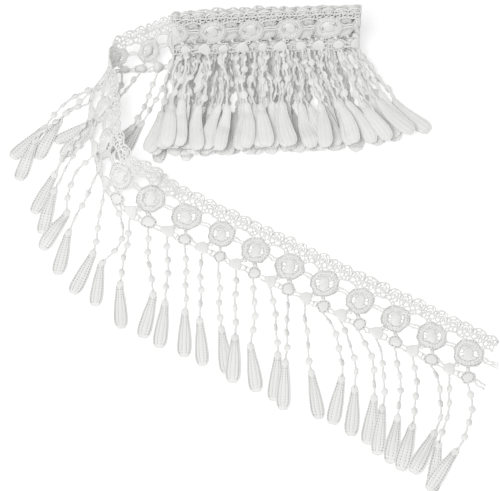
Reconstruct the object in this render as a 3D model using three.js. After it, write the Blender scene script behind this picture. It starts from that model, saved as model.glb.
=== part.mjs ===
// Venise lace trim: a metre of white embroidered fringe lace. The inner half is wound into a flat coil
// that stands on its wad of fringe, and the loose half leaves the coil's back, turns round at the left
// and lies out flat. Millimetres, +Z up, the table at z = 0.
//
// Along the lace the place is q, counted in repeats, with a ring medallion at each whole number.
// Across the lace the place is w, counted up from the hem, where the fringe hangs, to the picot edge.
import * as THREE from 'three';

// The lace, flat
const REPEAT = 24;
const SHEET = 1.1;
const PARTING = 0.3;
const RING_LINE = 18.1;
const WIDTH = 36.2;
const PICOTS_PER_REPEAT = 3;
const PICOT_DEPTH = 1.7;
const MEDALLION_R = 9.2;
const MEDALLION_RISE = 0.9;
const BAR_HALF = 0.9;
const OVAL = { above: 5, halfLength: 5.9, halfHeight: 3.4, corner: 6.6 };
const HEADING_FOOT = 9;
const DISC = { line: 3.9, r: 3.9, offset: REPEAT / 4, shoulder: 3.1 };
const ROOT_SHIFT = 1.9;
const DISC_BAR = { top: 6.2, foot: 4.3 };
const LADDER_FOOT = 2.8;
const RING_CLEARANCE = 0.5;

// Distances from a medallion's centre line at which the sheets have points, besides their corners
const ARC_STATIONS = [4, 8.8];
const SCALLOP_STATION = 9.7;
const LADDER_STATION = 3;
const STATION_PARTING = 0.45;

// The fringe: a corded thread with four flat beads, then a stitched drop
const CORD = { length: 41.5, width: 1, height: 1 };
const BEAD = { count: 4, first: 8, pitch: 9.1, length: 4.4, width: 4, height: 1.5 };
const DROP = { length: 32.8, height: 1.3 };
const ROOT_WIDTH = 1.2;
const ROOT_END = 1.6;
const CORE = 0.5;
const PLAIN_CORD_STATIONS = [5, 10, 16, 24, 33];
const DROP_BEND = 6;
const DROP_OUTLINE = [
  { along: 0, half: 0.6 },
  { along: 0.08, half: 2.2 },
  { along: 0.45, half: 3.6 },
  { along: 0.8, half: 4.4 },
  { along: 0.94, half: 3.1 },
  { along: 1, half: 0.9 },
];

// The coil: flat runs joined by half rounds, wound from the inside out. Each run further back has slipped
// down by slip times its distance. x, y and lift place the middle of the innermost run's hem. The lean
// is taken at the ring line. foot is how much more the hem leans and head how the picots turn from it.
const COIL = {
  run: 112,
  runs: 5,
  spacing: 1.5,
  slip: 0.85,
  x: 10,
  y: 129.2,
  lift: 15.35,
  yaw: 2.65,
  lean: 102,
  foot: 24,
  head: -16,
};
const COIL_START = -0.5;
const COIL_END = 19.5;
const COIL_LEAD_IN = 1.2;
const TAIL_END = 40.5;
const FRINGE_SPLIT = 30.5;
const TAIL_LEAVES_COIL = 24.2;

// What the whole heap is moved by, so that the origin is under its middle
const ORIGIN = { x: 1.3, y: 5, z: 0 };

// Where the loose lace lies. x, y and lift place its hem. lean is the angle at which its ring line stands
// over the table on its left hand, foot and head as in the coil. rake is how far the picots trail behind.
const TAIL_GUIDE = [
  { q: 20.5, x: 32.6, y: 134, lift: 10.5, lean: 103, foot: 20, head: -12, rake: 0 },
  { q: 21.5, x: 9, y: 134.4, lift: 8, lean: 105, foot: 16, head: -6, rake: 0 },
  { q: 22.5, x: -14, y: 133, lift: 5.5, lean: 109, foot: 10, head: 6, rake: 0 },
  { q: 23.5, x: -35.5, y: 128.2, lift: 3.5, lean: 117, foot: 4, head: 25, rake: 0 },
  { q: 24.25, x: -48, y: 124.4, lift: 2.2, lean: 119, foot: 0, head: 45, rake: 0 },
  { q: 25, x: -62.8, y: 121.8, lift: 1, lean: 110, foot: 0, head: 62, rake: 0 },
  { q: 26, x: -85, y: 121, lift: 2, lean: 86, foot: 0, head: 44, rake: 3 },
  { q: 27, x: -99.6, y: 107.6, lift: 3, lean: 60, foot: 8, head: -2, rake: 2 },
  { q: 28, x: -101.4, y: 82.4, lift: 3, lean: 50, foot: 10, head: 2, rake: 3 },
  { q: 29, x: -97, y: 57, lift: 2, lean: 56, foot: 4, head: -8, rake: 5 },
  { q: 30, x: -88.5, y: 34, lift: 0.8, lean: 52, foot: 4, head: -8, rake: 0 },
  { q: 30.5, x: -80.6, y: 23.6, lift: 0.3, lean: 32, foot: 0, head: -4, rake: 0 },
  { q: 31, x: -70, y: 15, lift: 0, lean: 11, foot: 0, head: 0, rake: 0 },
  { q: 32, x: -47, y: 3.2, lift: 0, lean: 0, foot: 0, head: 0, rake: 0 },
  { q: 36, x: 36, y: -41.9, lift: 0, lean: 0, foot: 0, head: 0, rake: 0 },
  { q: 40, x: 119.7, y: -87.5, lift: 0, lean: 0, foot: 0, head: 0, rake: 0 },
  { q: 40.5, x: 130.2, y: -93.2, lift: 0, lean: 0, foot: 0, head: 0, rake: 0 },
];

// Which way each pair of strands swings from straight ahead, positive to the right: where it leaves the
// disc, at the neck of the drop, and the drop itself. The first of a pair hangs from the pointed disc.
const TAIL_SWINGS = [
  { q: 20, first: [8, 2, -4], second: [4, 6, 8] },
  { q: 21, first: [-4, 2, 8], second: [6, -2, -6] },
  { q: 22, first: [2, -4, 4], second: [-6, 4, 2] },
  { q: 23, first: [-8, -2, -8], second: [-4, -10, -2] },
  { q: 24, first: [-12, -18, -12], second: [-24, -27, -27] },
  { q: 25, first: [-12, -24, -46], second: [-34, -42, -58] },
  { q: 26, first: [4, -46, -40], second: [-50, -36, -25] },
  { q: 27, first: [-72, -28, -41], second: [-62, -38, -18] },
  { q: 28, first: [-26, -28, -23], second: [-40, -18, -12] },
  { q: 29, first: [-50, 8, -30], second: [-20, -24, -10] },
  { q: 30, first: [-6, -6, -23], second: [40, -52, -5] },
  { q: 31, first: [-4, -9, 4], second: [0, 12, -12] },
  { q: 32, first: [6, -6, -6], second: [4, -2, 0] },
  { q: 33, first: [0, 0, 4], second: [0, 4, 7] },
  { q: 34, first: [-2, 1, -3], second: [7, -9, 7] },
  { q: 35, first: [10, 0, -5], second: [0, -4, -3] },
  { q: 36, first: [2, 6, 8], second: [32, -4, -12] },
  { q: 37, first: [26, -4, -6], second: [30, -8, -10] },
  { q: 38, first: [14, -8, -8], second: [13, -10, -12] },
  { q: 39, first: [9, -15, -16], second: [24, -22, -28] },
  { q: 40, first: [2, -22, -10], second: [12, -36, -35] },
];

// How the coil's fringe fans out over the table, from its left end to its right end: the swing at the
// middle, what is added towards the ends, and how much of it is reached at the disc and in the drop
const FAN = { middle: 3, spread: 15, rightFlare: 20, unevenness: 7, atDisc: 0.7, inDrop: 1.15 };
const FAN_STRIDES = { disc: 0.618, neck: 0.414, drop: 0.732 };

// How far the cords snake to and fro, in degrees, and how long a wave is
const WANDER = { turn: 4, coil: 6, front: 5, wave: 26, stride: 0.37 };

// The heap of strands: each one rests on what was laid before it
const HEAP = { cell: 0.5, half: 175, clearance: 0.3, slope: 0.24, step: 1 };

const THREAD = { color: 0xf4f3ef, roughness: 0.86, metalness: 0 };

const up = new THREE.Vector3(0, 0, 1);
const degrees = THREE.MathUtils.degToRad;
const lerp = THREE.MathUtils.lerp;

// The slope of a column at a station. A stretch that is level in the table stays level.
function slopeAt(table, column, i) {
  const before = table[Math.max(i - 1, 0)];
  const after = table[Math.min(i + 1, table.length - 1)];
  const here = table[i][column];
  const level = (i > 0 && before[column] === here) || (i < table.length - 1 && after[column] === here);
  return level ? 0 : (after[column] - before[column]) / (after.q - before.q);
}

// A smooth value from a table of stations, read in one of its columns
function along(table, column, q) {
  let i = 0;
  while (i < table.length - 2 && q > table[i + 1].q) i += 1;
  const a = table[i];
  const b = table[i + 1];
  const span = b.q - a.q;
  const t = (q - a.q) / span;
  const startSlope = slopeAt(table, column, i) * span;
  const endSlope = slopeAt(table, column, i + 1) * span;
  const rise = b[column] - a[column];
  return a[column] + t * (startSlope + t * (3 * rise - 2 * startSlope - endSlope
    + t * (startSlope + endSlope - 2 * rise)));
}

// The coil's winding, seen from above: sideways and through its thickness
function winding(q) {
  let left = (q - COIL_START) * REPEAT + COIL_LEAD_IN;
  let depth = 0;
  for (let run = 0; ; run += 1) {
    const heading = run % 2 === 0 ? -1 : 1;
    if (left <= COIL.run || run === COIL.runs - 1) {
      return { side: heading * (left - COIL.run / 2), depth };
    }
    left -= COIL.run;
    const radius = ((run + 1) * COIL.spacing) / 2;
    const turn = Math.PI * radius;
    if (left <= turn) {
      const angle = left / radius;
      return {
        side: heading * (COIL.run / 2 + radius * Math.sin(angle)),
        depth: depth + heading * radius * (1 - Math.cos(angle)),
      };
    }
    left -= turn;
    depth += heading * 2 * radius;
  }
}

// The lace's profile from its hem up to w: how far it has gone sideways and how far up
function profile({ lean, foot, head }, w) {
  const arc = (start, turn, length) => {
    const chord = Math.abs(turn) < 1e-6 ? length : (2 * length * Math.sin(turn / 2)) / turn;
    return { side: chord * Math.cos(start + turn / 2), rise: chord * Math.sin(start + turn / 2) };
  };
  const low = Math.min(w, RING_LINE);
  const high = w - low;
  const below = arc(degrees(lean + foot), (-degrees(foot) * low) / RING_LINE, low);
  const above = arc(degrees(lean), (degrees(head) * high) / RING_LINE, high);
  return { side: below.side + above.side, rise: below.rise + above.rise };
}

const coilYaw = degrees(COIL.yaw);
const coilRight = new THREE.Vector3(Math.cos(coilYaw), Math.sin(coilYaw), 0);
const coilBack = new THREE.Vector3(-Math.sin(coilYaw), Math.cos(coilYaw), 0);

function coilHem(q) {
  const { side, depth } = winding(q);
  return new THREE.Vector3(COIL.x, COIL.y, COIL.lift)
    .addScaledVector(coilRight, side)
    .addScaledVector(coilBack, depth)
    .addScaledVector(up, -depth * COIL.slip);
}

function coilStation(q) {
  const { x, y, z: lift } = coilHem(q);
  return { q, x, y, lift, lean: COIL.lean, foot: COIL.foot, head: COIL.head, rake: 0 };
}

const LAST_COIL_STRETCH = 0.3;
const tailGuide = [coilStation(COIL_END - LAST_COIL_STRETCH), coilStation(COIL_END), ...TAIL_GUIDE];

// A step along the lace that is short enough to take a direction from
const NEAR = 0.01;

// A point of the lace's middle surface
function middle(q, w) {
  if (q <= COIL_END) {
    const { side, rise } = profile(COIL, w);
    return coilHem(q).addScaledVector(coilBack, -side).addScaledVector(up, rise);
  }
  const at = (column) => along(tailGuide, column, q);
  const growth = (column) => along(tailGuide, column, q + NEAR) - along(tailGuide, column, q - NEAR);
  const ahead = new THREE.Vector3(growth('x'), growth('y'), 0).normalize();
  const leftHand = new THREE.Vector3(-ahead.y, ahead.x, 0);
  const lean = at('lean');
  const { side, rise } = profile({ lean, foot: at('foot'), head: at('head') }, w);
  const bedded = (SHEET / 2) * Math.abs(Math.cos(degrees(lean)));
  return new THREE.Vector3(at('x'), at('y'), at('lift') + bedded)
    .addScaledVector(leftHand, side)
    .addScaledVector(ahead, (-at('rake') * w) / WIDTH)
    .addScaledVector(up, rise);
}

function faceNormal(q, w) {
  const dq = 2 * NEAR;
  const dw = 0.2;
  const start = q > COIL_END ? Math.max(q - dq, COIL_END + 1e-6) : q - dq;
  const end = q > COIL_END ? q + dq : Math.min(q + dq, COIL_END);
  const lengthwise = middle(end, w).sub(middle(start, w));
  const across = middle(q, w + dw).sub(middle(q, w - dw));
  return lengthwise.cross(across).normalize();
}

// Distance from the nearest medallion's centre, along the lace
const offCentre = (q) => Math.abs(q - Math.round(q)) * REPEAT;

function picotEdge(d) {
  const wave = Math.sin((PICOTS_PER_REPEAT * Math.PI * d) / REPEAT);
  return WIDTH - PICOT_DEPTH * wave * wave;
}

function ovalHalf(d) {
  const across = (REPEAT / 2 - d) / OVAL.halfLength;
  return OVAL.halfHeight * Math.sqrt(Math.max(1 - across * across, 0));
}

function bandRows(q) {
  const d = offCentre(q);
  const raised = q > COIL_END ? MEDALLION_RISE : 0;
  const corner = ovalHalf(OVAL.corner);
  const inner = Math.min(d / OVAL.corner, 1);
  const low = d < OVAL.corner ? lerp(0, OVAL.above - corner, inner) : OVAL.above - ovalHalf(d);
  const high = d < OVAL.corner ? lerp(HEADING_FOOT, OVAL.above + corner, inner) : OVAL.above + ovalHalf(d);
  const foot = Math.sqrt(Math.max(MEDALLION_R ** 2 - d * d, BAR_HALF ** 2));
  return [
    { w: RING_LINE - foot, rise: 0 },
    { w: RING_LINE + low, rise: raised * Math.max(1 - inner, 0) },
    { w: RING_LINE + high, rise: 0 },
    { w: picotEdge(d), rise: 0 },
  ];
}

function discRows(q) {
  const d = offCentre(q);
  const off = Math.abs(d - DISC.offset);
  const round = Math.sqrt(Math.max(DISC.r ** 2 - off * off, 0));
  const inside = d < DISC.offset;
  const clearR = MEDALLION_R + RING_CLEARANCE;
  const ringFoot = RING_LINE - Math.sqrt(clearR ** 2 - Math.min(d, DISC.shoulder) ** 2);
  const top = inside ? ringFoot : Math.max(DISC.line + round, DISC_BAR.top);
  const foot = Math.min(DISC.line - round, inside ? LADDER_FOOT : DISC_BAR.foot);
  return [{ w: Math.max(foot, 0), rise: 0 }, { w: top, rise: 0 }];
}

// The places along the lace where the solid has points
function columns(start, end, offsets) {
  const places = [start + PARTING / 2 / REPEAT];
  for (let ring = Math.ceil(start); ring <= end; ring += 1) {
    for (const offset of offsets) {
      places.push(ring + offset / REPEAT);
    }
  }
  places.push(end - PARTING / 2 / REPEAT);
  return places.filter((q) => q >= places[0] && q <= end - PARTING / 2 / REPEAT);
}

// The half rounds of the coil, as extra places so that the lace bends smoothly there
function bendColumns() {
  const places = [];
  let length = -COIL_LEAD_IN;
  for (let run = 0; run < COIL.runs - 1; run += 1) {
    length += COIL.run;
    const turn = (Math.PI * (run + 1) * COIL.spacing) / 2;
    const steps = run === 0 ? 2 : 4;
    for (let i = 0; i <= steps; i += 1) {
      places.push(COIL_START + (length + (turn * i) / steps) / REPEAT);
    }
    length += turn;
  }
  return places;
}

function inOrder(places, kept) {
  const nearest = STATION_PARTING / REPEAT;
  const far = (q) => kept.every((other) => Math.abs(other - q) > nearest);
  return [...kept, ...places.filter(far)]
    .sort((a, b) => a - b)
    .filter((q, i, all) => i === 0 || q - all[i - 1] > 1e-6);
}

class Solid {
  constructor() {
    this.points = [];
    this.faces = [];
  }

  point(p) {
    this.points.push(p.x, p.y, p.z);
    return this.points.length / 3 - 1;
  }

  at(index) {
    return new THREE.Vector3().fromArray(this.points, 3 * index);
  }

  triangle(a, b, c) {
    this.faces.push(a, b, c);
  }

  quad(a, b, c, d) {
    const one = this.at(a).distanceToSquared(this.at(c));
    const other = this.at(b).distanceToSquared(this.at(d));
    if (one <= other) {
      this.triangle(a, b, c);
      this.triangle(a, c, d);
    } else {
      this.triangle(a, b, d);
      this.triangle(b, c, d);
    }
  }

  mesh(name) {
    const geometry = new THREE.BufferGeometry();
    geometry.setAttribute('position', new THREE.Float32BufferAttribute(this.points, 3));
    geometry.setIndex(this.faces);
    geometry.translate(ORIGIN.x, ORIGIN.y, ORIGIN.z);
    geometry.computeVertexNormals();
    const mesh = new THREE.Mesh(geometry, new THREE.MeshStandardMaterial(THREAD));
    mesh.name = name;
    return mesh;
  }
}

// A solid of the lace's own shape between its rows, open where keep says there is a hole. roots names
// the hem places where a strand grows out, and the walls left open there are returned.
function layLace(solid, places, rowsAt, keep, roots = []) {
  const grid = places.map((q) => rowsAt(q).map(({ w, rise }) => {
    const centre = middle(q, w);
    const normal = faceNormal(q, w);
    return {
      face: solid.point(centre.clone().addScaledVector(normal, SHEET / 2 + rise)),
      back: solid.point(centre.clone().addScaledVector(normal, -SHEET / 2)),
    };
  }));
  const rows = grid[0].length - 1;
  const kept = (i, j) => i >= 0 && j >= 0 && i < places.length - 1 && j < rows
    && keep((places[i] + places[i + 1]) / 2, j);
  const wall = (a, b) => solid.quad(a.face, a.back, b.back, b.face);
  const openings = [];
  for (let i = 0; i < places.length - 1; i += 1) {
    const root = roots.find((q) => q > places[i] && q < places[i + 1]);
    for (let j = 0; j < rows; j += 1) {
      if (!kept(i, j)) continue;
      const [a, b, c, d] = [grid[i][j], grid[i + 1][j], grid[i + 1][j + 1], grid[i][j + 1]];
      solid.quad(a.face, b.face, c.face, d.face);
      solid.quad(d.back, c.back, b.back, a.back);
      if (!kept(i, j - 1)) {
        if (root && j === 0) openings.push({ q: root, ring: [a.face, a.back, b.back, b.face] });
        else wall(a, b);
      }
      if (!kept(i + 1, j)) wall(b, c);
      if (!kept(i, j + 1)) wall(c, d);
      if (!kept(i - 1, j)) wall(d, a);
    }
  }
  return openings;
}

// The heap: the height of what lies on the table already, in square cells
const across = Math.round((2 * HEAP.half) / HEAP.cell);
const heap = new Float32Array(across * across);

function eachCell(x, y, reach, visit) {
  const cell = (v) => Math.floor((v + HEAP.half) / HEAP.cell);
  for (let i = cell(x - reach); i <= cell(x + reach); i += 1) {
    for (let j = cell(y - reach); j <= cell(y + reach); j += 1) {
      const dx = (i + 0.5) * HEAP.cell - HEAP.half - x;
      const dy = (j + 0.5) * HEAP.cell - HEAP.half - y;
      if (dx * dx + dy * dy <= reach * reach) visit(j * across + i);
    }
  }
}

function heapUnder(x, y, half) {
  let height = 0;
  eachCell(x, y, half + HEAP.clearance + HEAP.cell / 2, (cell) => {
    if (heap[cell] > 0) height = Math.max(height, heap[cell] + HEAP.clearance);
  });
  return height;
}

function pile(x, y, half, top) {
  eachCell(x, y, half + HEAP.cell / 2, (cell) => {
    heap[cell] = Math.max(heap[cell], top);
  });
}

// Half width and height of a strand at a distance from its root
function section(s, beaded) {
  if (s >= CORD.length) {
    const t = (s - CORD.length) / DROP.length;
    let i = 1;
    while (i < DROP_OUTLINE.length - 1 && t > DROP_OUTLINE[i].along) i += 1;
    const a = DROP_OUTLINE[i - 1];
    const b = DROP_OUTLINE[i];
    const half = lerp(a.half, b.half, (t - a.along) / (b.along - a.along));
    const fullness = Math.min(1, half / DROP_OUTLINE[1].half);
    return { half, height: lerp(CORD.height, DROP.height, fullness) };
  }
  const nearest = Math.round((s - BEAD.first) / BEAD.pitch);
  const off = Math.abs(s - BEAD.first - nearest * BEAD.pitch) / (BEAD.length / 2);
  const swell = beaded && nearest >= 0 && nearest < BEAD.count ? Math.max(0, 1 - off) : 0;
  return {
    half: lerp(CORD.width, BEAD.width, swell) / 2,
    height: lerp(CORD.height, BEAD.height, swell),
  };
}

// The distances from the root at which a strand has its rings of points
function ringPlaces(beaded) {
  const places = [ROOT_END];
  if (beaded) {
    for (let i = 0; i < BEAD.count; i += 1) {
      const bead = BEAD.first + i * BEAD.pitch;
      places.push(bead - BEAD.length / 2, bead, bead + BEAD.length / 2);
    }
  } else {
    places.push(...PLAIN_CORD_STATIONS);
  }
  for (const { along: t } of DROP_OUTLINE) places.push(CORD.length + t * DROP.length);
  return places;
}

// Lays a strand: it falls from its root at the angle of the lace, flattens out, and rests on the heap
function layPath(root, fall, swings, wander) {
  const length = CORD.length + DROP.length;
  const drop = Math.max(root.z - CORE, 0);
  const settle = fall < 0.05 ? 0 : (drop * fall) / (1 - Math.cos(fall));
  const path = [];
  let { x, y, z } = root;
  for (let s = 0; s <= length + 1e-9; s += HEAP.step) {
    path.push({ s, x, y, fallen: Math.max(z, CORE) });
    const pitch = s < settle ? fall * (1 - s / settle) : 0;
    const cord = Math.min(s / CORD.length, 1);
    const inDrop = Math.min(Math.max((s - CORD.length) / DROP_BEND, 0), 1);
    const swing = lerp(lerp(swings[0], swings[1], cord), swings[2], inDrop)
      + wander.amount * (1 - inDrop) * Math.sin(wander.phase + (2 * Math.PI * s) / WANDER.wave);
    x += HEAP.step * Math.cos(pitch) * Math.sin(degrees(swing));
    y -= HEAP.step * Math.cos(pitch) * Math.cos(degrees(swing));
    z -= HEAP.step * Math.sin(pitch);
  }
  for (const p of path) p.support = heapUnder(p.x, p.y, section(p.s, true).half);
  for (const p of path) {
    const held = Math.max(...path.map((o) => o.support - HEAP.slope * Math.abs(o.s - p.s)));
    p.z = Math.max(p.fallen, held + CORE);
  }
  path[0].z = root.z;
  return path;
}

function pathPoint(path, s) {
  const i = Math.min(Math.floor(s / HEAP.step), path.length - 2);
  const t = s / HEAP.step - i;
  const [a, b] = [path[i], path[i + 1]];
  return new THREE.Vector3(lerp(a.x, b.x, t), lerp(a.y, b.y, t), lerp(a.z, b.z, t));
}

// The strand's rings stay over the highest place that the straight pieces between them pass
function ringCentres(path, places) {
  return places.map((s, i) => {
    const from = i === 0 ? s : (places[i - 1] + s) / 2;
    const to = i === places.length - 1 ? s : (places[i + 1] + s) / 2;
    const centre = pathPoint(path, s);
    for (const p of path) {
      const resting = p.z > p.fallen + 1e-6;
      if (resting && p.s > from && p.s < to) centre.z = Math.max(centre.z, p.z);
    }
    return centre;
  });
}

function growStrand(solid, opening, swings, beaded, wander) {
  const corners = opening.ring.map((index) => solid.at(index));
  const root = corners.reduce((sum, p) => sum.add(p), new THREE.Vector3()).divideScalar(4);
  const downward = middle(opening.q, 0).sub(middle(opening.q, 0.5)).normalize();
  const fall = Math.asin(Math.min(Math.max(-downward.z, 0), 1));
  const path = layPath(root, fall, swings, wander);
  const places = ringPlaces(beaded);
  const centres = ringCentres(path, places);

  const first = degrees(swings[0]);
  const forward = new THREE.Vector3(Math.sin(first), -Math.cos(first), 0);
  const faceUp = fall < 0.2 || faceNormal(opening.q, 0).dot(forward) > 0;
  const [a, b, c, d] = faceUp ? opening.ring : [2, 3, 0, 1].map((i) => opening.ring[i]);

  const rings = centres.map((centre, i) => {
    const before = i === 0 ? root : centres[i - 1];
    const after = centres[Math.min(i + 1, centres.length - 1)];
    const ahead = after.clone().sub(before).normalize();
    const level = new THREE.Vector3(ahead.x, ahead.y, 0);
    const flat = level.lengthSq() > 1e-6 ? level.normalize() : forward;
    const sideways = up.clone().cross(flat).normalize();
    const crown = ahead.clone().cross(sideways).normalize();
    const { half, height } = section(places[i], beaded);
    return [
      centre.clone().addScaledVector(sideways, -half).addScaledVector(crown, -CORE),
      centre.clone().addScaledVector(sideways, half).addScaledVector(crown, -CORE),
      centre.clone().addScaledVector(crown, height - CORE),
    ].map((p) => {
      p.z = Math.max(p.z, 0);
      return solid.point(p);
    });
  });

  let [l, r, t] = rings[0];
  solid.triangle(a, b, l);
  solid.quad(b, c, r, l);
  solid.triangle(c, d, r);
  solid.triangle(d, t, r);
  solid.triangle(d, a, t);
  solid.triangle(a, l, t);
  for (let i = 1; i < rings.length; i += 1) {
    const [nl, nr, nt] = rings[i];
    solid.quad(l, r, nr, nl);
    solid.quad(r, t, nt, nr);
    solid.quad(t, l, nl, nt);
    [l, r, t] = [nl, nr, nt];
  }
  solid.triangle(l, r, t);

  for (let s = 0; s < CORD.length + DROP.length; s += HEAP.step / 2) {
    let i = 0;
    while (i < places.length - 1 && s > places[i]) i += 1;
    const from = i === 0 ? root : centres[i - 1];
    const start = i === 0 ? 0 : places[i - 1];
    const p = from.clone().lerp(centres[i], (s - start) / (places[i] - start));
    const { half, height } = section(s, beaded);
    pile(p.x, p.y, half, p.z - CORE + height);
  }
}

// Uneven but fixed amounts, one for each strand
const uneven = (n, stride) => 2 * ((n * stride) % 1) - 1;

function wanderOf(n, amount) {
  return { amount, phase: 2 * Math.PI * ((n * WANDER.stride) % 1) };
}

function coilSwings(root, n) {
  const side = Math.min(Math.max((root - COIL.x) / (COIL.run / 2), -1), 1);
  const fan = FAN.middle + FAN.spread * side + FAN.rightFlare * Math.max(side, 0) ** 3;
  return [
    FAN.atDisc * fan + FAN.unevenness * uneven(n, FAN_STRIDES.disc),
    fan + FAN.unevenness * uneven(n, FAN_STRIDES.neck),
    FAN.inDrop * fan + FAN.unevenness * uneven(n, FAN_STRIDES.drop),
  ];
}

function tailSwings(q) {
  const ring = Math.round(q);
  const row = TAIL_SWINGS.find((entry) => entry.q === ring);
  return q < ring ? row.first : row.second;
}

function discRoots(start, end) {
  const roots = [];
  for (let ring = Math.ceil(start); ring <= end; ring += 1) {
    roots.push(ring + (ROOT_SHIFT - DISC.offset) / REPEAT, ring + (ROOT_SHIFT + DISC.offset) / REPEAT);
  }
  return roots;
}

const both = (offsets) => offsets.flatMap((offset) => [-offset, offset]);
const bandOffsets = both([0, OVAL.corner, REPEAT / 2, ...ARC_STATIONS]);
const rootOffsets = (half) => [ROOT_SHIFT - DISC.offset + half, ROOT_SHIFT + DISC.offset + half];
const discOffsets = [
  ...both([0, DISC.offset, SCALLOP_STATION]),
  LADDER_STATION,
  ...rootOffsets(-ROOT_WIDTH / 2),
  ...rootOffsets(ROOT_WIDTH / 2),
];

function bandPiece(name, start, end) {
  const solid = new Solid();
  const regular = columns(start, end, bandOffsets);
  const places = inOrder(regular, end <= COIL_END ? bendColumns() : []);
  layLace(solid, places, bandRows, (q, row) => row !== 1 || offCentre(q) < OVAL.corner);
  return solid.mesh(name);
}

function discPiece(start, end) {
  const solid = new Solid();
  const regular = columns(start, end, discOffsets);
  const roots = discRoots(start, end);
  const nearRoot = (q) => roots.some((root) => Math.abs(root - q) * REPEAT < ROOT_WIDTH);
  const extra = end <= COIL_END ? bendColumns().filter((q) => !nearRoot(q)) : [];
  const openings = layLace(solid, inOrder(regular, extra), discRows, () => true, roots);
  return { solid, openings };
}

// The order in which the strands lie on each other: the coil's back runs first, its front face last
const depthOf = (opening) => -coilBack.dot(middle(opening.q, 0).sub(new THREE.Vector3(COIL.x, COIL.y, 0)));

const coilDiscs = discPiece(COIL_START, COIL_END);
const turnDiscs = discPiece(COIL_END, FRINGE_SPLIT);
const frontDiscs = discPiece(FRINGE_SPLIT, TAIL_END);

const strandNumber = (opening) => Math.round(opening.q * 2);

for (const opening of turnDiscs.openings) {
  const beaded = opening.q > TAIL_LEAVES_COIL;
  const wander = wanderOf(strandNumber(opening), WANDER.turn);
  growStrand(turnDiscs.solid, opening, tailSwings(opening.q), beaded, wander);
}
const backToFront = [...coilDiscs.openings].sort((m, n) => depthOf(m) - depthOf(n));
for (const opening of backToFront) {
  const n = strandNumber(opening);
  const swings = coilSwings(middle(opening.q, 0).x, n);
  const beaded = winding(opening.q).depth < -1.5 * COIL.spacing;
  growStrand(coilDiscs.solid, opening, swings, beaded, wanderOf(n, WANDER.coil));
}
for (const opening of frontDiscs.openings) {
  const wander = wanderOf(strandNumber(opening), WANDER.front);
  growStrand(frontDiscs.solid, opening, tailSwings(opening.q), true, wander);
}

const trim = new THREE.Group();
trim.add(
  bandPiece('lace_coil', COIL_START, COIL_END),
  bandPiece('lace_tail', COIL_END, TAIL_END),
  coilDiscs.solid.mesh('coil_fringe'),
  turnDiscs.solid.mesh('tail_fringe_turn'),
  frontDiscs.solid.mesh('tail_fringe_front'),
);

export default trim;
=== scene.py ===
"""Venise lace trim: a metre of white fringe lace, half wound in a flat coil and half lying loose.

The lace is drawn flat, one repeat at a time, with threads and padded satin patches. The repeat is
arrayed along the strip, and the strip is then laid on the same lie as the solids of the frame. Each
strand of the fringe is drawn flat too, twisted, and laid on the heap of strands before it.

Flat, x runs along the lace, y up from the hem to the picots, and z out of the lace's face.
"""

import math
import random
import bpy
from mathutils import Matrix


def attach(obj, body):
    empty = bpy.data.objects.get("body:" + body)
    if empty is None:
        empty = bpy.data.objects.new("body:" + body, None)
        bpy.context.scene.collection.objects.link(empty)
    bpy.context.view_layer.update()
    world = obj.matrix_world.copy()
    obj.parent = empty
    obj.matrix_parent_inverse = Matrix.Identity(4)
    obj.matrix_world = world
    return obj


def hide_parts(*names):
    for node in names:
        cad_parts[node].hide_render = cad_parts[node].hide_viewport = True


bl_info = {
    "name": "Venise Lace Trim",
    "version": (1, 0, 0),
    "blender": (4, 5, 0),
    "location": "3D View > Sidebar > Lace Trim",
    "description": "A metre of white lace with ring medallions and a beaded drop fringe",
    "category": "Add Mesh",
}

from types import SimpleNamespace

import bmesh
import bpy
import numpy as np
from bpy.props import FloatProperty, FloatVectorProperty, IntProperty, PointerProperty
from mathutils import Matrix, Vector

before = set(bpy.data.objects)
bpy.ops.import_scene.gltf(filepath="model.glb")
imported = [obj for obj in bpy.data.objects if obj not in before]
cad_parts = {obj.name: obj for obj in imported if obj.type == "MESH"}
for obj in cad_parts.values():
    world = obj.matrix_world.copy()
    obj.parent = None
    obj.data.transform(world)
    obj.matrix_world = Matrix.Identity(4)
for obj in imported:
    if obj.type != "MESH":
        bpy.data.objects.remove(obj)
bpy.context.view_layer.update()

MM = 0.001
UP = np.array((0.0, 0.0, 1.0))


def in_mm(**sizes):
    """Named sizes that are given in millimetres."""
    return SimpleNamespace(**{name: value * MM for name, value in sizes.items()})


# The strip, as the solids have it. Places along it are counted in repeats, with a ring medallion at
# each whole number, and NEAR is the step to a neighbouring place. The two cuts are measured from the
# first and the last medallion.
REPEAT = 24 * MM
LACE = in_mm(width=36.2, ring_line=18.1, sheet=1.1, first_cut=0.3, last_cut=12.6)
COIL_START = -0.5
COIL_END = 19.5
TAIL_END = 40.5
FRINGE_SPLIT = 30.5
TAIL_LEAVES_COIL = 24.2
NEAR = 0.01
RINGS = {"coil": (-1, 21), "tail": (20, 21)}

# How far each join in a medallion reaches, in degrees. Between them it is open, but the coil's are
# nearly shut.
JOIN_SPREAD = {"coil": 79, "tail": 62}

# What the heap is moved by, so that the origin is under its middle
ORIGIN = Vector((1.3 * MM, 5 * MM, 0))

# The coil: flat runs joined by half rounds, wound from the inside out
COIL = in_mm(run=112, spacing=1.5, x=10, y=129.2, lift=15.35, lead_in=1.2)
COIL_RUNS = 5
COIL_SLIP = 0.85
COIL_YAW = math.radians(2.65)
COIL_RIGHT = np.array((math.cos(COIL_YAW), math.sin(COIL_YAW), 0))
COIL_BACK = np.array((-math.sin(COIL_YAW), math.cos(COIL_YAW), 0))
COIL_LEAN = {"lean": 102, "foot": 24, "head": -16}
LAST_COIL_STRETCH = 0.3

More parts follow.
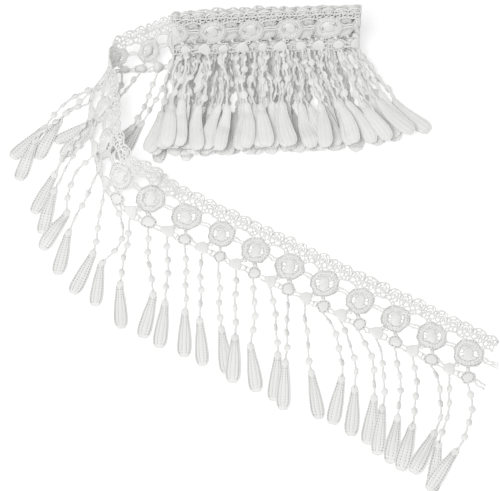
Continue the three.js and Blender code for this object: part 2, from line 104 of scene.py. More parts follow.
# The inner windings, up to their end. They are pressed to a relief, and slid by half a repeat, which
# builds up over a run, so that no two open windows lie in line. A second set of strands hangs from
# them, shifted between the others, and lies under them.
INNER = SimpleNamespace(end=14.2, run=4.6, slide=0.5, relief=0.6 * MM, shift=0.25, second_set=53)

# Where the loose lace lies. x, y and lift place its hem, in millimetres. lean is the angle at which its
# ring line stands over the floor on its left hand. foot is how much more the hem leans and head how the
# picots turn from it. rake is how far the picots trail behind, in millimetres.
TAIL_COLUMNS = ("q", "x", "y", "lift", "lean", "foot", "head", "rake")
TAIL_GUIDE = [
    (20.5, 32.6, 134, 10.5, 103, 20, -12, 0),
    (21.5, 9, 134.4, 8, 105, 16, -6, 0),
    (22.5, -14, 133, 5.5, 109, 10, 6, 0),
    (23.5, -35.5, 128.2, 3.5, 117, 4, 25, 0),
    (24.25, -48, 124.4, 2.2, 119, 0, 45, 0),
    (25, -62.8, 121.8, 1, 110, 0, 62, 0),
    (26, -85, 121, 2, 86, 0, 44, 3),
    (27, -99.6, 107.6, 3, 60, 8, -2, 2),
    (28, -101.4, 82.4, 3, 50, 10, 2, 3),
    (29, -97, 57, 2, 56, 4, -8, 5),
    (30, -88.5, 34, 0.8, 52, 4, -8, 0),
    (30.5, -80.6, 23.6, 0.3, 32, 0, -4, 0),
    (31, -70, 15, 0, 11, 0, 0, 0),
    (32, -47, 3.2, 0, 0, 0, 0, 0),
    (36, 36, -41.9, 0, 0, 0, 0, 0),
    (40, 119.7, -87.5, 0, 0, 0, 0, 0),
    (40.5, 130.2, -93.2, 0, 0, 0, 0, 0),
]
LENGTH_COLUMNS = ("x", "y", "lift", "rake")

# Which way each pair of strands swings from straight to the front, in degrees and positive to the
# right: where it leaves the disc, at the neck of the drop, and the drop. The pointed disc's is first.
TAIL_SWINGS = {
    20: ((8, 2, -4), (4, 6, 8)),
    21: ((-4, 2, 8), (6, -2, -6)),
    22: ((2, -4, 4), (-6, 4, 2)),
    23: ((-8, -2, -8), (-4, -10, -2)),
    24: ((-12, -18, -12), (-24, -27, -27)),
    25: ((-12, -24, -46), (-34, -42, -58)),
    26: ((4, -46, -40), (-50, -36, -25)),
    27: ((-72, -28, -41), (-62, -38, -18)),
    28: ((-26, -28, -23), (-40, -18, -12)),
    29: ((-50, 8, -30), (-20, -24, -10)),
    30: ((-6, -6, -23), (40, -52, -5)),
    31: ((-4, -9, 4), (0, 12, -12)),
    32: ((6, -6, -6), (4, -2, 0)),
    33: ((0, 0, 4), (0, 4, 7)),
    34: ((-2, 1, -3), (7, -9, 7)),
    35: ((10, 0, -5), (0, -4, -3)),
    36: ((2, 6, 8), (32, -4, -12)),
    37: ((26, -4, -6), (30, -8, -10)),
    38: ((14, -8, -8), (13, -10, -12)),
    39: ((9, -15, -16), (24, -22, -28)),
    40: ((2, -22, -10), (12, -36, -35)),
}

# How the coil's fringe fans out, in degrees, and how much of the fan is reached at the disc and drop
FAN = SimpleNamespace(middle=3, spread=15, right_flare=20, unevenness=7, at_disc=0.7, in_drop=1.15)
FAN_STRIDES = (0.618, 0.414, 0.732)

# How far the cords snake to and fro, in degrees
WANDER = {"turn": (4, 0), "coil": (12, 11), "front": (5, 0)}
WANDER_STRIDE = 0.37
WANDER_WAVE = 26 * MM
BOW_WAVE = 71 * MM

# The heap of strands
HEAP = in_mm(cell=0.5, half=175, clearance=0.1, step=1)
HEAP_SLOPE = 0.24

# How the strands of the loose and of the wound lace are stitched. The numbers are shares of a plain
# strand's widths.
STRAND_KINDS = {
    "loose": {"needled": True, "fullness": (0.94, 1.05), "cord": 1, "bead": 1},
    "wound": {"needled": False, "fullness": (1.02, 1.2), "cord": 1.45, "bead": 1.08},
}

# A strand
ROOTS = in_mm(disc=6, shift=1.9, height=0.5)
CORD = in_mm(length=41.5, half=0.72, core=0.6, bend=6)
BEAD = in_mm(first=8, pitch=9.1, shift=1.8, length=4.5, width=4, thickness=1.2, rim=0.38)
BEADS = 4
DROP = in_mm(length=32.8, rim=0.5, rib=0.9, line=0.55, rib_height=0.22, rib_level=0.24, height=0.4)
DROP_OUTLINE = [(0, 0.6), (0.05, 1.75), (0.16, 2.25), (0.3, 2.75), (0.45, 3.55), (0.62, 4.1),
                (0.8, 4.4), (0.9, 3.95), (0.96, 2.75), (1, 0.9)]
DROP_WIDEST = 4.4

# The rows of a drop, as shares of its half width, and where they start and end along it
DROP_ROWS = SimpleNamespace(rim=0.9, line=0.54, ground=0.84, needles=(0.31, 0.75))
DROP_SPANS = {"rim": (0.06, 0.98), "rib": (0.13, 0.955), "line": (0.2, 0.93), "needles": (0.16, 0.93)}
DROP_LEAN = 0.05
DROP_GROUND = SimpleNamespace(crown=0.85, rounding=0.5, pitch=2)

# A strand's stitching, in millimetres, shares and degrees. The cord is tucked in at both ends.
CORD_LINE = SimpleNamespace(points=44, tuck=1.6, spare=3.4, wobble=0.14, stride=1.7)
BEAD_STITCH = SimpleNamespace(
    stretch=(0.92, 1.12), low=-0.45, high=0.5, rounding=0.3, rim_inset=0.1, rim_starts=(-60, 120),
    rim_drift=30, rim_reach=240, drift=0.3)
CAP = SimpleNamespace(length=3.1, width=1.95, taper=0.25, low=-0.45, high=0.62, rounding=0.45)

# How far a strand is twisted, in degrees. A share of its beads is turned, and the rest nearly lie.
TWIST = SimpleNamespace(
    turned_share=0.4, turned=(45, 85), lying=(0, 30), neck=14, tip=9, neck_at=2 * MM)


# The lie of the lace

def unit(vectors):
    return vectors / np.linalg.norm(vectors, axis=1)[:, None]


def guide_slope(values, places, i):
    """The slope of a column at a station. A stretch that is level in the table stays level."""
    before, after = max(i - 1, 0), min(i + 1, len(values) - 1)
    level = (i > 0 and values[i - 1] == values[i]) or (i < after and values[i + 1] == values[i])
    return 0 if level else (values[after] - values[before]) / (places[after] - places[before])


def along(table, column, q):
    """Smooth values of a column at the places q."""
    places = np.array(table["q"])
    values = table[column]
    slopes = np.array([guide_slope(values, places, i) for i in range(len(values))])
    values = np.array(values)
    i = np.clip(np.searchsorted(places, q, side="left") - 1, 0, len(places) - 2)
    span = places[i + 1] - places[i]
    t = (q - places[i]) / span
    rise = values[i + 1] - values[i]
    start, end = slopes[i] * span, slopes[i + 1] * span
    return values[i] + t * (start + t * (3 * rise - 2 * start - end + t * (start + end - 2 * rise)))


def winding(q):
    """The coil's winding from above: sideways and through its thickness."""
    left = (np.asarray(q, float) - COIL_START) * REPEAT + COIL.lead_in
    side, depth_at = np.zeros_like(left), np.zeros_like(left)
    open_yet = np.ones(left.shape, bool)
    depth = 0.0
    for run in range(COIL_RUNS):
        heading = -1 if run % 2 == 0 else 1
        here = open_yet & ((left <= COIL.run) | (run == COIL_RUNS - 1))
        side[here] = heading * (left[here] - COIL.run / 2)
        depth_at[here] = depth
        open_yet &= ~here
        left = left - COIL.run
        radius = (run + 1) * COIL.spacing / 2
        here = open_yet & (left <= math.pi * radius)
        angle = left[here] / radius
        side[here] = heading * (COIL.run / 2 + radius * np.sin(angle))
        depth_at[here] = depth + heading * radius * (1 - np.cos(angle))
        open_yet &= ~here
        left = left - math.pi * radius
        depth += heading * 2 * radius
    return side, depth_at


def arc_chord(start, turn, length):
    """How far an arc that starts at an angle and turns by another goes sideways and up."""
    chord = length * np.sinc(turn / (2 * math.pi))
    return chord * np.cos(start + turn / 2), chord * np.sin(start + turn / 2)


def profile(lean, foot, head, w):
    """The lace's profile from its hem up to w: how far it has gone sideways and how far up."""
    lean, foot, head = np.radians(lean), np.radians(foot), np.radians(head)
    low = np.minimum(w, LACE.ring_line)
    high = w - low
    below = arc_chord(lean + foot, -foot * low / LACE.ring_line, low)
    above = arc_chord(lean, head * high / LACE.ring_line, high)
    return below[0] + above[0], below[1] + above[1]


def coil_hem(q):
    side, depth = winding(q)
    foot = np.array((COIL.x, COIL.y, COIL.lift))
    return (foot + side[:, None] * COIL_RIGHT + depth[:, None] * COIL_BACK
            - (depth * COIL_SLIP)[:, None] * UP)


def tail_table():
    """The tail's stations, with the two that it shares with the coil."""
    table = {name: [] for name in TAIL_COLUMNS}
    for q in (COIL_END - LAST_COIL_STRETCH, COIL_END):
        x, y, lift = coil_hem(np.array([q]))[0]
        for name, value in {"q": q, "x": x, "y": y, "lift": lift, "rake": 0, **COIL_LEAN}.items():
            table[name].append(value)
    for row in TAIL_GUIDE:
        for name, value in zip(TAIL_COLUMNS, row):
            table[name].append(value * MM if name in LENGTH_COLUMNS else value)
    return table


TAIL_TABLE = tail_table()


def coil_middle(q, w):
    side, rise = profile(w=w, **COIL_LEAN)
    return coil_hem(q) - side[:, None] * COIL_BACK + rise[:, None] * UP


def tail_middle(q, w):
    at = {name: along(TAIL_TABLE, name, q) for name in TAIL_COLUMNS[1:]}
    ahead = unit(np.stack([
        along(TAIL_TABLE, name, q + NEAR) - along(TAIL_TABLE, name, q - NEAR) for name in ("x", "y")
    ], axis=1))
    side, rise = profile(at["lean"], at["foot"], at["head"], w)
    trail = at["rake"] * w / LACE.width
    bedded = LACE.sheet / 2 * np.abs(np.cos(np.radians(at["lean"])))
    return np.stack([
        at["x"] - ahead[:, 1] * side - ahead[:, 0] * trail,
        at["y"] + ahead[:, 0] * side - ahead[:, 1] * trail,
        at["lift"] + bedded + rise,
    ], axis=1)


def middle(q, w):
    """Points of the lace's middle surface, at q repeats along it and w up from its hem."""
    q, w = np.broadcast_arrays(np.asarray(q, float), np.asarray(w, float))
    points = np.empty((len(q), 3))
    coiled = q <= COIL_END
    points[coiled] = coil_middle(q[coiled], w[coiled])
    points[~coiled] = tail_middle(q[~coiled], w[~coiled])
    return points


def onward_from(q, w):
    return middle(q + NEAR, w) - middle(q - NEAR, w)


def face_normals(q, w):
    across = 0.2 * MM
    upward = middle(q, w + across) - middle(q, w - across)
    return unit(np.cross(onward_from(q, w), upward))


# Hand unevenness of the stitching: waves, each with its length along and up, its phase, and how far it
# pushes the lace along, up and out. The lengths and pushes are in millimetres.
UNEVENNESS = [
    (31, 47, 0.4, 0.35, 0.2, 0.15),
    (13, -29, 2.1, 0.2, 0.3, 0.08),
    (7.3, 17, 4.4, 0.25, 0.22, 0.1),
    (5.1, -9, 1.3, 0.2, 0.2, 0.06),
]


def pulled(points):
    """Flat points, a little uneven as stitched lace is."""
    moved = points.copy()
    for length, height, start, *pushes in UNEVENNESS:
        phase = 2 * math.pi * (points[:, 0] / length + points[:, 1] / height) / MM + start
        for axis, push in enumerate(pushes):
            moved[:, axis] += push * MM * np.sin(phase + axis)
    return moved


def lay_on_lie(points, first_ring):
    """Takes flat points of a strip that starts at a ring's repeat to where they lie."""
    run, w, height = pulled(points).T
    q = slid(first_ring + run / REPEAT)
    height = np.where(q < INNER.end, np.minimum(height, INNER.relief), height)
    held = np.clip(q, COIL_START, TAIL_END)
    place = middle(held, w) + face_normals(held, w) * height[:, None]
    beyond = (q - held) * REPEAT
    return place + unit(onward_from(held, w)) * beyond[:, None] + np.array(ORIGIN)


def slid(q):
    """Where a place along the strip has slid to in the inner windings."""
    return q + INNER.slide * np.clip((INNER.end - q) / INNER.run, 0, 1)


# Drawing flat

# Where a thread's top is in its UV map, which goes round it once, and where clear and faint needle
# holes show on it as painted shade dots
TOP_OF_THREAD = 1 / 12
NEEDLE_HOLE = 1 / 4
FAINT_NEEDLE_HOLE = 0.2405
NEEDLE_PITCH = 1.75

# How a patch is padded: the share of its height that is upright, and how its insets grow and rise
PADDING = SimpleNamespace(body=0.45, first_inset=0.5, inset_growth=0.6, rise=0.55)


class Pattern:
    """A flat piece of lace, drawn with threads and padded satin patches, in millimetres."""

    def __init__(self, foot=0.0):
        self.mesh = bmesh.new()
        self.foot = foot

    def stitched(self, points, half, thickness, ridge):
        """A thread with even stitches that stand out across it."""
        self.thread(evenly(points, STITCH_PITCH), half, thickness, swell=ridged(ridge))

    def thread(self, points, half, thickness=1.0, level=0.0, closed=False, swell=None, sides=1,
               finish_row=None):
        """An oval thread through the points. thickness is a share of its width, and swell gives each
        point's share. finish_row gives all of it the finish of one place round a thread."""
        curve = bpy.data.curves.new("thread", "CURVE")
        curve.dimensions = "3D"
        curve.twist_mode = "Z_UP"
        curve.bevel_depth = half
        curve.bevel_resolution = sides
        curve.use_fill_caps = not closed
        spline = curve.splines.new("POLY")
        spline.points.add(len(points) - 1)
        for i, (point, (x, y)) in enumerate(zip(spline.points, points)):
            point.co = (x, y, 0, 1)
            point.radius = swell(i) if swell else 1
        spline.use_cyclic_u = closed
        holder = bpy.data.objects.new("thread", curve)
        made = bpy.data.meshes.new_from_object(holder)
        bpy.data.objects.remove(holder)
        bpy.data.curves.remove(curve)
        ends = list(points) + [points[0]] * closed
        length = sum(math.dist(a, b) for a, b in zip(ends, ends[1:]))
        for corner in made.uv_layers[0].data:
            corner.uv = (corner.uv.x * length, corner.uv.y if finish_row is None else finish_row)
        tube = bmesh.new()
        tube.from_mesh(made)
        bpy.data.meshes.remove(made)
        bmesh.ops.remove_doubles(tube, verts=tube.verts, dist=1e-5)
        bmesh.ops.recalc_face_normals(tube, faces=tube.faces)
        flattened = Matrix.Diagonal((1, 1, thickness, 1))
        self._add(tube, Matrix.Translation((0, self.foot, level)) @ flattened)

    def needles(self, points, closed=False, row=NEEDLE_HOLE):
        """A row of needle holes on satin, drawn as a low thread with painted shade dots where the holes
        are.
        """
        self.thread(points, NEEDLES.half, NEEDLES.thickness, NEEDLES.level, closed, sides=0,
                    finish_row=row)

    def patch(self, outline, low, high, rounding, steps=3, bend=None):
        """A padded patch of satin stitch: flat below, and crowned above by insets that rise less and
        less. bend is the pitch of the cuts across it, so that it can bend lengthwise."""
        crown = bmesh.new()
        face = crown.faces.new([crown.verts.new((x, y, low)) for x, y in outline])
        crown.normal_update()
        if face.normal.z < 0:
            bmesh.ops.reverse_faces(crown, faces=[face])
        raised = bmesh.ops.extrude_face_region(crown, geom=[face])
        top = next(item for item in raised["geom"] if isinstance(item, bmesh.types.BMFace))
        body = (high - low) * PADDING.body
        bmesh.ops.translate(crown, verts=top.verts, vec=(0, 0, body))
        left = high - low - body
        for step in range(steps):
            rise = left * (PADDING.rise if step < steps - 1 else 1)
            inset = rounding * (PADDING.first_inset + PADDING.inset_growth * step)
            bmesh.ops.inset_region(
                crown, faces=[top], thickness=inset, depth=rise, use_even_offset=True)
            left -= rise
        if bend:
            start, end = (limit(x for x, _ in outline) for limit in (min, max))
            for cut in range(1, math.ceil((end - start) / bend)):
                bmesh.ops.bisect_plane(
                    crown, geom=[*crown.verts, *crown.edges, *crown.faces], dist=1e-4,
                    plane_co=(start + cut * bend, 0, 0), plane_no=(1, 0, 0))
        bmesh.ops.recalc_face_normals(crown, faces=crown.faces)
        uv = crown.loops.layers.uv.new("UVMap")
        for face in crown.faces:
            face.smooth = True
            for loop in face.loops:
                loop[uv].uv = (loop.vert.co.x, TOP_OF_THREAD)
        self._add(crown, Matrix.Translation((0, self.foot, 0)))

    def _add(self, shape, place):
        bmesh.ops.transform(shape, matrix=place, verts=shape.verts)
        made = mesh_of(shape, "shape")
        self.mesh.from_mesh(made)
        bpy.data.meshes.remove(made)

    def finished(self, name):
        """The pattern as a mesh, in metres."""
        bmesh.ops.scale(self.mesh, verts=self.mesh.verts, vec=(MM, MM, MM))
        return mesh_of(self.mesh, name)


def mesh_of(shape, name):
    """Turns a shape into a mesh and frees it."""
    made = bpy.data.meshes.new(name)
    shape.to_mesh(made)
    shape.free()
    return made


def linked(name, data):
    """A new object in the scene."""
    made = bpy.data.objects.new(name, data)
    bpy.context.scene.collection.objects.link(made)
    return made


def spaced(first, last, steps):
    """Numbers from the first to the last in even steps."""
    return [first + (last - first) * i / steps for i in range(steps + 1)]


def arc(centre, radius, start, end, steps):
    """Points round a centre from one angle to another, in degrees. A pair of radii makes an oval."""
    across, upward = radius if isinstance(radius, tuple) else (radius, radius)
    turns = map(math.radians, spaced(start, end, steps))
    return [(centre[0] + across * math.cos(a), centre[1] + upward * math.sin(a)) for a in turns]


def ring(centre, radius, steps, lobes=0, lobe_depth=0.0):
    """Points once round a centre. lobes make its edge wavy."""
    points = []
    for i in range(steps):
        a = 2 * math.pi * i / steps
        r = radius + lobe_depth * math.cos(lobes * a)
        points.append((centre[0] + r * math.cos(a), centre[1] + r * math.sin(a)))
    return points


def turned(points, degrees):
    """Points turned about the medallion's centre."""
    sine, cosine = math.sin(math.radians(degrees)), math.cos(math.radians(degrees))
    return [(x * cosine - y * sine, x * sine + y * cosine) for x, y in points]


def evenly(points, pitch):
    """The same path with points at an even pitch."""
    path = np.array(points, float)
    run = np.concatenate([[0], np.cumsum(np.linalg.norm(np.diff(path, axis=0), axis=1))])
    places = np.linspace(0, run[-1], max(round(run[-1] / pitch), 1) + 1)
    return list(zip(*(np.interp(places, run, column).tolist() for column in path.T)))


def ridged(depth):
    """Every other point of a thread is drawn in, which makes the stitches across it stand out."""
    return lambda i: 1 - depth * (i % 2)


# The flat repeat, in millimetres from a medallion's centre

HALF_REPEAT = 12
MEDALLION = SimpleNamespace(
    ring=6.65, half=1.9, height=0.4, outer=8.8, rim_half=0.42, needles=(8.15, 7.1, 5.8), lobes=8,
    lobe=0.14, join=4.2, join_half=0.95, joins=(90, 270), bridge_half=0.32, centre=(3.1, 4.3), turn=20,
    rounding=0.6)
# The low threads that carry the painted shade dots of the needle holes
NEEDLES = SimpleNamespace(half=0.27, thickness=0.55, level=0.3)
BAR = SimpleNamespace(half=0.7, upper=1.5, lower=-0.5, start=8.3, end=15.7)
RAIL = SimpleNamespace(centre=(12, 4.7), radii=(6.4, 3.75), half=0.68, start=172, end=8)
RING_ROW = [(-10.1, 10.2, 1.5), (-6.05, 10.55, 1.45), (-2.0, 11.0, 1.45), (2.0, 11.0, 1.45),
            (6.05, 10.55, 1.45), (10.1, 10.2, 1.5), (-6.3, 7.7, 1.05), (6.3, 7.7, 1.05)]
RING_ROW_HALF = 0.5
SCALLOP = SimpleNamespace(
    pitch=8, centre=13.45, outer=4.2, inner=2.25, valley=17, spokes=(35, 90, 145), eye=0.9, base=12.6,
    half=0.6, thin=0.45, post_foot=12, post_head=14.9, ripple=0.25)
STITCH_PITCH = 0.65
DISC = SimpleNamespace(low=-0.45, pointed=0.6, round=0.65, rounding=0.5)
POINTED_DISC = [(-10.5, -14.1), (-9.6, -12.2), (-7.4, -10.2), (-5.0, -9.5), (-3.2, -10.7),
                (-1.7, -14.3), (-2.0, -16.6), (-3.3, -17.7), (-5.0, -17.6), (-8.4, -16.4)]
ROUND_DISC = SimpleNamespace(centre=(6.6, -13.8), pad=3.3, needles=3.45, rim=4.0, rim_half=0.45)
LADDER = SimpleNamespace(upper=-13.0, lower=-16.1, start=-2.2, end=3.2, rung=0.55, half=0.58)
DISC_BAR = SimpleNamespace(levels=((-13.1, 10.1, 14.3), (-15.6, 9.8, 15.4)), drop=-0.3, half=0.66)
NECKS = [((3.4, -8.2), (5.5, -10.6), 1.2), ((-3.4, -8.4), (-4.4, -10.2), 0.9)]
NECK_HEIGHT = 0.4
LINK = SimpleNamespace(centre=(-2.2, -9.9), radius=0.9, half=0.42)
FRAY = SimpleNamespace(start=-0.4, reach=8, shortest=0.75, half=0.34, ply=0.28, opening=0.5, bend=0.9,
                       wave=0.2, turns=9)


def draw_medallion(pattern, relief, join_spread):
    m = MEDALLION
    pattern.thread(ring((0, 0), m.ring, 80, m.lobes, m.lobe), m.half, m.height / m.half, closed=True,
                   swell=ridged(0.06), sides=2)
    pattern.thread(ring((0, 0), m.outer, 88, m.lobes, m.lobe), m.rim_half, 0.9, closed=True,
                   swell=ridged(0.3))
    for radius in m.needles:
        pattern.needles(ring((0, 0), radius, 40, m.lobes, m.lobe), True, FAINT_NEEDLE_HOLE)
    for at in m.joins:
        join = arc((0, 0), m.join, at - join_spread, at + join_spread, 20)
        pattern.thread(turned(join, m.turn), m.join_half, m.height / m.join_half, swell=ridged(0.06))
    for side in (-1, 1):
        pattern.thread(turned([(side * m.centre[0], 0), (side * m.ring, 0)], m.turn), m.bridge_half)
    pattern.patch(turned(arc((0, 0), m.centre, 0, 360, 28)[:-1], m.turn), -m.height, relief, m.rounding)


def draw_bars(pattern):
    for level in (BAR.upper, BAR.lower):
        pattern.stitched([(BAR.start, level), (BAR.end, level)], BAR.half, 0.85, 0.12)


def draw_heading(pattern):
    rail = arc(RAIL.centre, RAIL.radii, RAIL.start, RAIL.end, 24)
    pattern.stitched(rail, RAIL.half, 0.8, 0.12)
    for x, y, radius in RING_ROW:
        pattern.thread(ring((x, y), radius, 14), RING_ROW_HALF, closed=True)
    waves = 2 * math.pi / SCALLOP.pitch
    pattern.thread([(x, SCALLOP.base + SCALLOP.ripple * math.cos(waves * x))
                    for x in range(-HALF_REPEAT, HALF_REPEAT + 1)], SCALLOP.half)
    for k in (-1, 0, 1):
        centre = (k * SCALLOP.pitch, SCALLOP.centre)
        outer = arc(centre, SCALLOP.outer, SCALLOP.valley, 180 - SCALLOP.valley, 16)
        pattern.thread(outer, SCALLOP.half, 0.9, swell=ridged(0.15))
        pattern.thread(arc(centre, SCALLOP.inner, -10, 190, 12), SCALLOP.thin, 1.2)
        for angle in SCALLOP.spokes:
            ends = [arc(centre, r, angle, angle, 1)[0] for r in (SCALLOP.inner, SCALLOP.outer)]
            pattern.thread(ends, SCALLOP.thin, 1.1, sides=0)
        pattern.thread(ring(centre, SCALLOP.eye, 10), SCALLOP.thin, 1.1, closed=True)
        post = centre[0] + SCALLOP.pitch / 2
        pattern.thread([(post, SCALLOP.post_foot), (post, SCALLOP.post_head)], SCALLOP.half)


def draw_discs(pattern):
    pattern.patch(POINTED_DISC, DISC.low, DISC.pointed, DISC.rounding)
    pattern.patch(ring(ROUND_DISC.centre, ROUND_DISC.pad, 22), DISC.low, DISC.round, DISC.rounding)
    pattern.thread(ring(ROUND_DISC.centre, ROUND_DISC.rim, 40), ROUND_DISC.rim_half, 0.85, closed=True,
                   swell=ridged(0.22))
    pattern.needles(ring(ROUND_DISC.centre, ROUND_DISC.needles, 24), closed=True)
    for start, end, half in NECKS:
        pattern.thread([start, end], half, NECK_HEIGHT / half)
    for level in (LADDER.upper, LADDER.lower):
        pattern.stitched([(LADDER.start, level), (LADDER.end, level)], LADDER.half, 0.9, 0.12)
    pattern.thread([(LADDER.rung, LADDER.lower), (LADDER.rung, LADDER.upper)], LADDER.half, 0.9)
    for level, start, end in DISC_BAR.levels:
        pattern.stitched([(start, level), (end, level + DISC_BAR.drop)], DISC_BAR.half, 0.9, 0.12)
    pattern.thread(ring(LINK.centre, LINK.radius, 12), LINK.half, closed=True)


def draw_frayed_ends(pattern, rng):
    """What is left of the bars at the cut: their plies, opened out."""
    for level in (BAR.upper, BAR.lower, *(row[0] for row in DISC_BAR.levels)):
        reach = FRAY.reach * rng.uniform(FRAY.shortest, 1)
        for ply in (-1, 0, 1):
            bend = FRAY.opening * ply + rng.uniform(-FRAY.bend, FRAY.bend)
            points = []
            for t in spaced(0, 1, 10):
                wave = FRAY.wave * math.sin(FRAY.turns * t + ply)
                points.append((HALF_REPEAT + FRAY.start + reach * t,
                               level + FRAY.ply * ply + bend * t * t + wave))
            pattern.thread(points, FRAY.half, swell=ridged(0.25))


def repeated(mesh, count):
    """The flat repeat arrayed into a strip, on its first medallion."""
    holder = linked("strip", mesh)
    array = holder.modifiers.new("repeats", "ARRAY")
    array.count = count
    array.use_relative_offset = False
    array.use_constant_offset = True
    array.constant_offset_displace = (REPEAT, 0, 0)
    evaluated = holder.evaluated_get(bpy.context.evaluated_depsgraph_get())
    strip = bpy.data.meshes.new_from_object(evaluated)
    bpy.data.objects.remove(holder)
    return strip


def trimmed(mesh, place, onward):
    """Cuts the strip off at a place and closes its threads. onward is 1 at its end, -1 at its start."""
    cut = bmesh.new()
    cut.from_mesh(mesh)
    found = bmesh.ops.bisect_plane(cut, geom=[*cut.verts, *cut.edges, *cut.faces], dist=1e-7,
                                   plane_co=(place, 0, 0), plane_no=(onward, 0, 0), clear_outer=True)
    rims = [item for item in found["geom_cut"] if isinstance(item, bmesh.types.BMEdge)]
    bmesh.ops.holes_fill(cut, edges=rims, sides=0)
    cut.to_mesh(mesh)
    cut.free()


def coordinates(mesh):
    values = np.empty(len(mesh.vertices) * 3, np.float32)
    mesh.vertices.foreach_get("co", values)
    return values.reshape(-1, 3).astype(float)


def move_to(mesh, points):
    """Moves a mesh's points, and lays on the table what would sink into it."""
    points[:, 2] = np.maximum(points[:, 2], 0)
    mesh.vertices.foreach_set("co", points.astype(np.float32).ravel())
    mesh.update()


# The fringe

def drop_half(t, unit=1, before=None):
    """The half width of a drop at shares of its length. unit is a millimetre's size, and before is
    what holds above the drop."""
    places, halves = zip(*DROP_OUTLINE)
    return np.interp(t, places, np.array(halves) * unit, left=before)


def draw_bead(pattern, centre, size, rng):
    b = BEAD_STITCH
    length, width, thick = (v * size / MM for v in (BEAD.length, BEAD.width, BEAD.thickness))
    radii = (length / 2 * rng.uniform(*b.stretch), width / 2)
    outline = arc((centre, 0), radii, 0, 360, 16)[:-1]
    pattern.patch(outline, b.low * thick, b.high * thick, b.rounding, 2)
    start = rng.choice(b.rim_starts) + rng.uniform(-b.rim_drift, b.rim_drift)
    rim = arc((centre, 0), tuple(r - b.rim_inset for r in radii), start, start + b.rim_reach, 14)
    pattern.thread(rim, BEAD.rim / MM, 1.2, swell=ridged(0.2))


def draw_drop(pattern, rng, needled, fullness):
    """A drop: a cap, a corded rim and three ribs on satin, and in a needled one, rows of needle holes
    painted as shade dots.
    """
    start, length, height = (v / MM for v in (CORD.length, DROP.length, DROP.height))
    fullness = rng.uniform(*fullness)
    lean = rng.uniform(-DROP_LEAN, DROP_LEAN)

    def at(t, share):
        across = float(drop_half(t)) * (fullness * share + lean * math.sin(math.pi * t))
        return (start + t * length, across)

    def round_tip(share):
        steps = spaced(*DROP_SPANS["rim"], 40)
        return [at(t, share) for t in steps] + [at(t, -share) for t in reversed(steps)]

    def row(share, name):
        places = spaced(*DROP_SPANS[name], 18)
        swells = [fullness * float(drop_half(t)) / DROP_WIDEST for t in places]
        return [at(t, share) for t in places], swells

    def rib(share, half, name):
        points, swells = row(share, name)
        pattern.thread(points, half, DROP.rib_height / MM / half, DROP.rib_level / MM,
                       swell=lambda i: swells[i], finish_row=TOP_OF_THREAD)

    pattern.stitched(round_tip(DROP_ROWS.rim), DROP.rim / MM, 0.85, 0.3)
    cap = [(start + CAP.length * (1 + x), (CAP.width + CAP.taper * x) * y)
           for x, y in arc((0, 0), 1, 0, 360, 18)[:-1]]
    pattern.patch(cap, CAP.low, CAP.high, CAP.rounding)
    ground = DROP_GROUND
    outline = evenly(round_tip(DROP_ROWS.ground), ground.pitch)[:-1]
    pattern.patch(outline, -height, ground.crown * height, ground.rounding, 2, bend=ground.pitch)
    rib(0, DROP.rib / MM, "rib")
    for side in (1, -1):
        rib(side * DROP_ROWS.line, DROP.line / MM, "line")
        if needled:
            for share in DROP_ROWS.needles:
                pattern.needles(row(side * share, "needles")[0])


def draw_strand(rng, needled, fullness, cord, bead):
    """A flat strand: a cord with four flat beads and then a drop. Says where its beads are."""
    pattern = Pattern()
    line = CORD_LINE
    run = spaced(-line.tuck, CORD.length / MM + line.spare - line.tuck, line.points)
    pattern.thread([(x, line.wobble * math.sin(line.stride * i)) for i, x in enumerate(run)],
                   cord * CORD.half / MM, 0.85, swell=ridged(0.2))
    first = BEAD.first + BEAD.shift * rng.uniform(-1, 1)
    drift = BEAD_STITCH.drift * BEAD.shift
    places = [first + BEAD.pitch * i + drift * rng.uniform(-1, 1) for i in range(BEADS)]
    for place in places:
        draw_bead(pattern, place / MM, bead, rng)
    draw_drop(pattern, rng, needled, fullness)
    return SimpleNamespace(mesh=pattern.finished("strand"), beads=places)


def strand_half(strand, s):
    """The half width of a strand at distances from its root."""
    halves = np.full(s.shape, CORD.half)
    for place in strand.beads:
        off = np.minimum(np.abs(s - place) / (BEAD.length / 2), 1)
        halves = np.maximum(halves, BEAD.width / 2 * np.sqrt(1 - off**2))
    return np.maximum(halves, drop_half((s - CORD.length) / DROP.length, MM, 0))


class Heap:
    """The height of what lies on the floor already, in square cells."""

    def __init__(self):
        self.across = round(2 * HEAP.half / HEAP.cell)
        self.top = np.zeros((self.across, self.across))

    def _cells(self, x, y, half):
        reach = half + HEAP.cell / 2
        low_x, high_x, low_y, high_y = (
            int((v + HEAP.half) / HEAP.cell) for v in (x - reach, x + reach, y - reach, y + reach))
        columns = (np.arange(low_x, high_x + 1) + 0.5) * HEAP.cell - HEAP.half - x
        rows = (np.arange(low_y, high_y + 1) + 0.5) * HEAP.cell - HEAP.half - y
        inside = rows[:, None] ** 2 + columns[None, :] ** 2 <= reach**2
        return (slice(low_y, high_y + 1), slice(low_x, high_x + 1)), inside

    def under(self, x, y, half):
        window, inside = self._cells(x, y, half)
        highest = (self.top[window] * inside).max()
        return highest + HEAP.clearance if highest > 0 else 0.0

    def pile(self, x, y, half, height):
        window, inside = self._cells(x, y, half)
        self.top[window] = np.where(inside, np.maximum(self.top[window], height), self.top[window])


def twist_along(strand, s, rng):
    """How far a strand is twisted about its own line, in radians. Each bead turns its own way."""
    places, angles = [0.0], [0.0]
    for place in strand.beads:
        places.append(place)
        angle = rng.uniform(*(TWIST.turned if rng.random() < TWIST.turned_share else TWIST.lying))
        angles.append(math.radians(angle * rng.choice((-1, 1))))
    places += [CORD.length + TWIST.neck_at, CORD.length + DROP.length]
    angles += [math.radians(rng.uniform(-most, most)) for most in (TWIST.neck, TWIST.tip)]
    return np.interp(s, places, angles)


